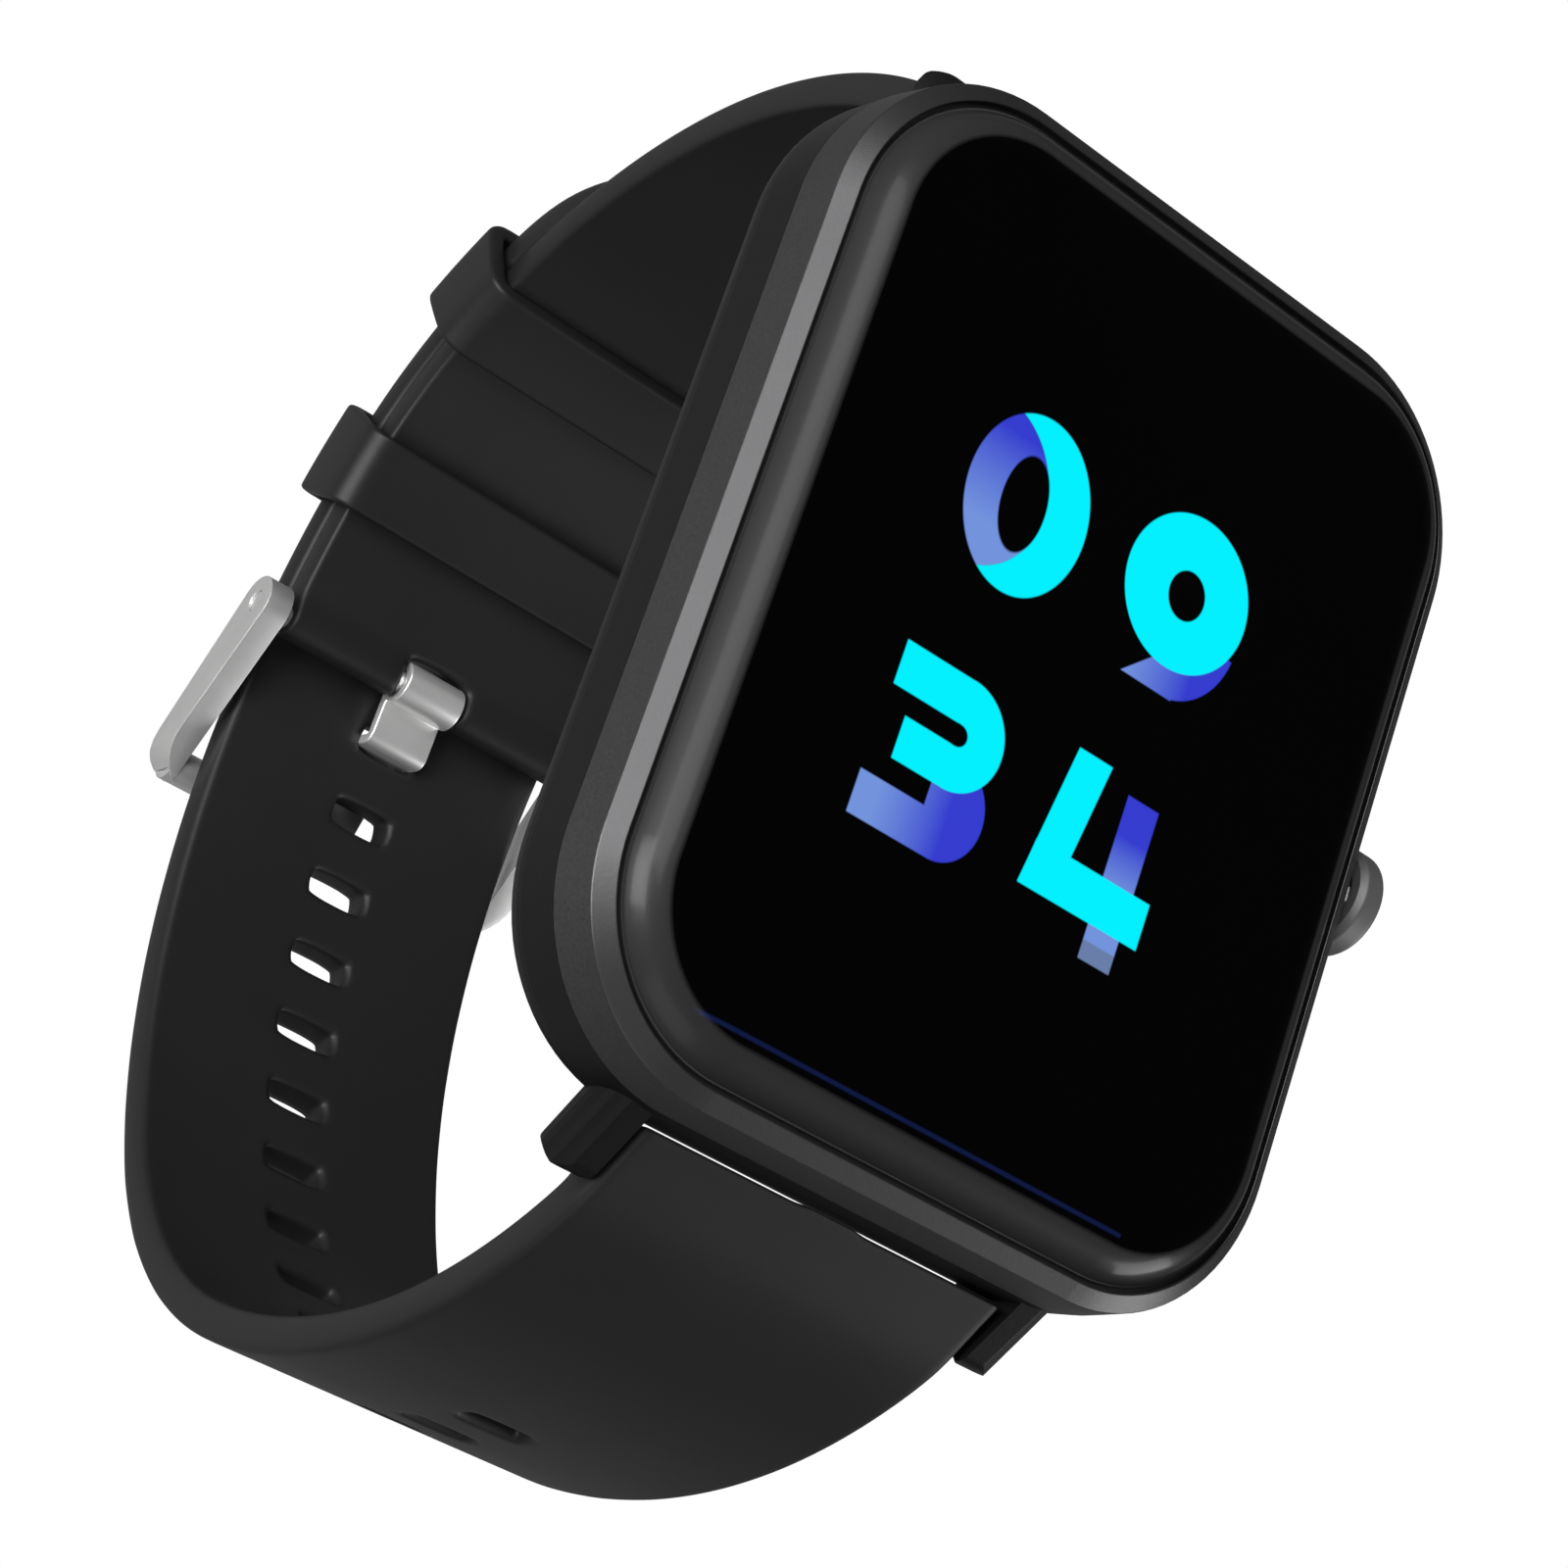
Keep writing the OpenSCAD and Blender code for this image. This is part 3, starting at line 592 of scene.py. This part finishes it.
class WATCH_OT_buckle(bpy.types.Operator):
    """Round the edges of the buckle's frame and tongue and give them their steel"""

    bl_idname = "watch.buckle"
    bl_label = "Buckle"

    def execute(self, context):
        edge = context.scene.watch_sizes.buckle_edge
        tongue_edge = 0.00024
        colour = tuple(context.scene.watch_colours.buckle)
        satin = turned("satin_steel", colour, 0.34, "Y", 0.85)
        # the tongue takes the buckle's steel colour made 1.2 times lighter, a painted highlight, with
        # lower metallic so it picks up more lamp light
        painted_highlight_steel = turned("steel_painted_highlight", shade(colour, 1.2), 0.28, "X", 0.78)
        parts = (("buckle_frame", "buckle_bow", "buckle", "buckle_steel", edge, satin),
                 ("buckle_tongue", "buckle_prong", "tongue", "tongue_steel", tongue_edge, painted_highlight_steel))
        for node, name, body, slot, radius, finish in parts:
            piece = copy_of(node, name)
            add_modifier(piece, "BEVEL", width=radius, segments=6, limit_method="ANGLE",
                         angle_limit=math.radians(45), use_clamp_overlap=True)
            bpy.ops.object.shade_smooth_by_angle(angle=math.radians(35))
            finished(piece, finish, body, slot, node)
        satin.give("buckle_pin")
        return {"FINISHED"}


# ---------------------------------------------------------------- dial
def ellipse(x, y, centre, radii):
    """1 inside an ellipse, 0 outside, with a fine soft edge."""
    across, along = (x - centre[0]) / radii[0], (y - centre[1]) / radii[1]
    return soft((1 - (across * across + along * along).root()) * min(radii))


def soft(distance):
    return (distance * 14 + 0.5).least(1).most(0)


def strip(value, low, high):
    return soft((value - low).least(high - value))


def ramp(value, start, reach):
    """0 up to start, then rising evenly to 1 over reach."""
    return ((value - start) / reach).least(1).most(0)


def panel(x, y, left, right, bottom, top):
    return strip(x, left, right) * strip(y, bottom, top)


def either(*masks):
    total = masks[0]
    for mask in masks[1:]:
        total = total.most(mask)
    return total


PRINT_HALF = (17.3, 21.55)  # half width and half length of the outline the print is laid from, mm
PRINT_CORNER = 7.2  # its corner radius, mm
EDGE_REFLECTION_BAND = 1.55  # how far in from that outline the black print begins; the band outside it gets a painted reflection, mm


class WATCH_OT_cover_glass(bpy.types.Operator):
    """Give the cover glass its black print, its depth of gloss, a painted reflection along its curved
    edge and the lit clock figures
    """

    bl_idname = "watch.cover_glass"
    bl_label = "Cover glass and dial"

    def execute(self, context):
        colours = context.scene.watch_colours
        finish = Finish("lit_glass")
        x, y, z = finish.axes()
        # 0: a ring whose left half passes behind
        ring = ellipse(x, y, (-5.75, 5.85), (3.27, 3.9))
        ring = ring * (1 - ellipse(x, y, (-5.95, 5.8), (1.2, 2.15)))
        left_side = ellipse(x, y, (-8.6, 5.8), (3.8, 3.7))
        zero_behind = ring * left_side
        # 9: a thick ring with a short tail
        nine = ellipse(x, y, (3.45, 6.55), (3.5, 3.42))
        nine = nine * (1 - ellipse(x, y, (3.46, 6.45), (1.03, 1.1)))
        slant = soft(((x - 1.4) * 0.93 + 2.0 - y) * 0.73)
        shadow = ellipse(x, y, (3.45, 5.6), (3.4, 3.72)) * strip(x, 3.2, 9) * strip(y, 1.93, 5)
        nine_behind = either(panel(x, y, 1.3, 4.3, 1.93, 3.6) * slant, shadow)
        # 3: two strokes joined by a bend, over a hook
        three = either(panel(x, y, -9.15, -5.3, -3.95, -2.0),
                       panel(x, y, -8.12, -5.3, -6.72, -4.88),
                       ellipse(x, y, (-5.4, -4.36), (2.4, 2.37)) * strip(x, -5.45, 0))
        three = three * (1 - ellipse(x, y, (-5.4, -4.42), (0.5, 0.47)))
        three_behind = either(panel(x, y, -9.32, -4.9, -9.62, -7.74),
                              ellipse(x, y, (-5.0, -7.4), (2.15, 2.22)) * strip(x, -5.9, 0))
        # 4: a leaning stroke and a bar, over an upright stem
        lean = (y + 2.03) * 0.15
        four = either(strip(x - lean, 0.58, 2.5) * strip(y, -8.48, -2.03),
                      strip(x - lean * 0.9, 0.5, 9) * strip(x, -2, 6.5) * strip(y, -8.5, -6.42))
        four_behind = panel(x, y, 3.72, 5.52, -10.02, -2.7)
        front = either(ring * (1 - left_side), nine, three, four)
        behind = either(zero_behind, nine_behind, three_behind, four_behind)
        # the strokes behind grow deeper in colour along their length, each in its own quarter
        right, upper, lower = strip(x, 0, 12), strip(y, 0, 12), strip(y, -12, 0)
        fade_zero = ramp(y, 4.2, 4.2) * upper * (1 - right)
        fade_nine = ramp(x, 1.5, 3.5) * strip(x, 0.2, 12) * upper
        fade_three = ramp(x, -8.2, 3.6) * (1 - right) * lower
        fade_four = ramp(y, -6.8, 2.4) * right * lower
        deep = fade_zero + fade_nine + fade_three + fade_four
        pale = (0.17, 0.29, 0.72)
        behind_colour = finish.blend(deep, pale, tuple(colours.figures_behind))
        # unlit grey at the low end of the stem
        unlit = strip(y, -12, -9.2) * right * 0.7
        behind_colour = finish.blend(unlit, behind_colour, (0.13, 0.17, 0.26))
        lit = finish.blend(behind, (0, 0, 0), behind_colour)
        lit = finish.blend(front, lit, tuple(colours.figures))
        line = panel(x, y, -12.8, 10.2, -19.66, -19.48) * strip(z, 1.0, 2)
        lit = finish.blend(line, lit, (0.004, 0.009, 0.05))
        smear = finish.noise(0.012, 3)
        print_black = finish.blend(smear, (0.0004, 0.0004, 0.0005), (0.0007, 0.0007, 0.0008))
        # how far in from the outline a point lies, which tells the painted reflection band along the
        # glass edge from the print
        half_x, half_y = PRINT_HALF
        over_x = (x.magnitude() - (half_x - PRINT_CORNER)).most(0)
        over_y = (y.magnitude() - (half_y - PRINT_CORNER)).most(0)
        inward = PRINT_CORNER - (over_x * over_x + over_y * over_y).root()
        inward = inward.least(half_x - x.magnitude()).least(half_y - y.magnitude())
        # painted reflection: a grey base colour along the curved glass edge stands in for the light it
        # mirrors; the coat over it adds real gloss
        edge = soft((EDGE_REFLECTION_BAND - inward) * 0.35)
        finish.set(Base_Color=finish.blend(edge, print_black, (0.02, 0.02, 0.0205)),
                   Roughness=0.1 + smear * 0.05, Specular_IOR_Level=0.05,
                   Coat_Weight=edge * 0.3, Coat_Roughness=0.34,
                   Emission_Color=lit, Emission_Strength=1.0)
        finish.give("cover_glass")
        return {"FINISHED"}


class WATCH_OT_case(bpy.types.Operator):
    """Give the metal frame, rear case, crown and sensor window their finishes"""

    bl_idname = "watch.case"
    bl_label = "Case and crown"

    def execute(self, context):
        colours = context.scene.watch_colours
        metal = tuple(colours.case_metal)
        rim = Finish("blasted_rim")
        z = rim.axes()[2]
        slope = soft(z + 0.66)
        grains = rim.noise(0.00014, 3, 0.7)
        drift = rim.noise(0.006, 3)
        chamfer = rim.blend(drift, shade(metal, 0.5), shade(metal, 0.58))
        wall = rim.blend(grains, shade(metal, 0.3), shade(metal, 0.8))
        rim.set(Base_Color=rim.blend(slope, wall, chamfer),
                Roughness=0.5 - slope * 0.14 + grains * 0.08, Metallic=0.85)
        rim.bump(grains, 0.000006)
        rim.give("case_frame")
        plastic = tuple(colours.case_plastic)
        moulded("rear_plastic", plastic, 0.42, 0.00015, 0.000005, 0.14).give("rear_case")
        moulded("satin_crown", (0.17, 0.17, 0.172), 0.55, 0.00009, 0.000002, 0.5, 0.6).give("crown_cap")
        moulded("dark_window", (0.006, 0.006, 0.008), 0.12, 0.004, 0.0, 0.5).give("sensor_window")
        turned("gold_plate", (0.8, 0.58, 0.24), 0.2, "X").give("charge_contacts")
        turned("pin_steel", (0.55, 0.55, 0.54), 0.25, "X").give(
            "bar_tube_6", "bar_pin_6_left", "bar_pin_6_right", "bar_tube_12", "bar_pin_12_left",
            "bar_pin_12_right", "crown_stem", "crown_tube", "rear_screws")
        return {"FINISHED"}


class WATCH_OT_inside(bpy.types.Operator):
    """Give the pieces inside the case their finishes"""

    bl_idname = "watch.inside"
    bl_label = "Inner pieces"

    def execute(self, context):
        board = Finish("solder_mask")
        weave = board.node("ShaderNodeTexBrick", {}, {
            "Vector": board.coordinates, "Scale": 600.0, "Mortar Size": 0.03,
            "Color1": (0.012, 0.07, 0.035, 1), "Color2": (0.016, 0.09, 0.045, 1),
            "Mortar": (0.12, 0.16, 0.05, 1)})
        board.set(Base_Color=weave, Roughness=0.35 + board.noise(0.001) * 0.1)
        board.give("main_board", "sensor_board")
        moulded("chip_resin", (0.025, 0.025, 0.027), 0.45).give(
            "processor", "motion_sensor", "light_detector")
        turned("tin_can", (0.6, 0.6, 0.59), 0.3, "Y").give(
            "shield_can", "vibration_motor", "side_switch")
        moulded("pouch_foil", (0.32, 0.34, 0.37), 0.35, 0.0006, 0.00002, 0.5, 0.7).give("battery")
        moulded("flex_film", (0.42, 0.19, 0.05), 0.35, 0.0004).give(
            "display_flex", "battery_lead", "antenna_strip")
        moulded("display_stack", (0.015, 0.015, 0.022), 0.15, 0.002).give("display_panel")
        moulded("foam_tape", (0.03, 0.03, 0.03), 0.8, 0.0002, 0.00001).give("glass_adhesive")
        moulded("seal_rubber", (0.015, 0.015, 0.015), 0.6, 0.0002).give("case_gasket", "crown_o_ring")
        moulded("carrier_nylon", (0.045, 0.045, 0.05), 0.55, 0.0003, 0.00001).give(
            "inner_carrier")
        turned("knurled_brass", (0.62, 0.45, 0.18), 0.3, "Z").give("screw_inserts")
        moulded("led_resin", (0.3, 0.6, 0.32), 0.2, 0.0004).give("sensor_leds")
        turned("spring_wire", (0.5, 0.5, 0.5), 0.25, "X").give(
            "crown_spring", "crown_clip", "bar_spring_6", "bar_spring_12")
        moulded("slip_washer", (0.72, 0.72, 0.7), 0.4, 0.0002).give("crown_washer")
        return {"FINISHED"}


LAMPS = (  # name, place in metres, width in metres, power in watts
    ("key", (-0.3, 0.16, 0.34), 0.3, 1.5),
    ("front", (-0.1, -0.42, 0.16), 0.3, 0.32),
    ("side", (0.4, -0.22, 0.1), 0.2, 0.8),
    ("inside", (-0.24, -0.03, 0.09), 0.14, 0.8))
LAMPS_AIM = Vector((0, 0, -0.01))
CAMERA_AT = (-0.088101, -0.05472, 0.127329)  # metres
CAMERA_TURN = (4.568357, -36.597278, 22.973232)  # degrees
CAMERA_LENS = 87.482  # mm, on a sensor 36 mm wide
FLOOR_DROP = 0.11  # from the lowest point of the strap to the floor, metres


class WATCH_OT_stage(bpy.types.Operator):
    """Lay the pale floor, hang the soft lights and set up the camera"""

    bl_idname = "watch.stage"
    bl_label = "Floor, lights and camera"

    def execute(self, context):
        scene = context.scene
        start()
        bpy.ops.mesh.primitive_plane_add(size=12, location=(0, 0, cad_box[0].z - FLOOR_DROP))
        floor = bpy.context.object
        floor.name = "floor"
        pale = Finish("pale_floor")
        pale.set(Base_Color=(0.3, 0.3, 0.3), Roughness=0.9, Specular_IOR_Level=0.1)
        seen = pale.node("ShaderNodeLightPath", output="Is Camera Ray")
        glow = pale.node("ShaderNodeEmission", inputs={"Strength": 1.0})
        sheet = pale.node("ShaderNodeMixShader", inputs={
            0: seen, 1: Wire(pale, pale.shader.outputs[0]), 2: glow})
        below = pale.node("ShaderNodeNewGeometry", output="Backfacing")
        clear = pale.node("ShaderNodeBsdfTransparent")
        open_below = pale.node("ShaderNodeMixShader", inputs={0: below, 1: sheet, 2: clear})
        pale.join(open_below, pale.tree.nodes["Material Output"].inputs["Surface"])
        floor.data.materials.append(pale.material)
        scene.world = bpy.data.worlds.new("studio")
        scene.world.use_nodes = True
        sky = scene.world.node_tree.nodes["Background"]
        sky.inputs["Color"].default_value = (1, 1, 1, 1)
        sky.inputs["Strength"].default_value = 0.14
        for name, at, size, power in LAMPS:
            bpy.ops.object.light_add(type="AREA", location=at)
            lamp = bpy.context.object
            lamp.name = name
            lamp.data.size = size
            lamp.data.energy = power
            lamp.rotation_euler = (LAMPS_AIM - Vector(at)).to_track_quat("-Z", "Y").to_euler()
        bpy.ops.object.camera_add(
            location=CAMERA_AT, rotation=[math.radians(turn) for turn in CAMERA_TURN])
        camera = bpy.context.object
        camera.data.sensor_width = 36
        camera.data.lens = CAMERA_LENS
        camera.data.clip_start = 0.01
        camera.data.clip_end = 20
        scene.camera = camera
        scene.view_settings.view_transform = "Standard"
        return {"FINISHED"}


class WATCH_PT_pieces(bpy.types.Panel):
    """The watch's pieces, in the order they are made."""

    bl_idname = "WATCH_PT_pieces"
    bl_label = "Smartwatch"
    bl_space_type = "VIEW_3D"
    bl_region_type = "UI"
    bl_category = "Watch"

    def draw(self, context):
        for group in (context.scene.watch_sizes, context.scene.watch_colours):
            for name in group.__annotations__:
                self.layout.prop(group, name)
        for operator in PIECES:
            self.layout.operator(operator.bl_idname)


PIECES = (WATCH_OT_stage, WATCH_OT_strap_hole_side, WATCH_OT_strap_buckle_side, WATCH_OT_keepers,
          WATCH_OT_buckle, WATCH_OT_cover_glass, WATCH_OT_case, WATCH_OT_inside)
CLASSES = (WatchSizes, WatchColours, *PIECES, WATCH_PT_pieces)


def register():
    for item in CLASSES:
        bpy.utils.register_class(item)
    bpy.types.Scene.watch_sizes = bpy.props.PointerProperty(type=WatchSizes)
    bpy.types.Scene.watch_colours = bpy.props.PointerProperty(type=WatchColours)


def unregister():
    del bpy.types.Scene.watch_colours
    del bpy.types.Scene.watch_sizes
    for item in reversed(CLASSES):
        bpy.utils.unregister_class(item)


def main():
    register()
    for operator in PIECES:
        group, name = operator.bl_idname.split(".")
        getattr(getattr(bpy.ops, group), name)()


if __name__ == "__main__":
    main()
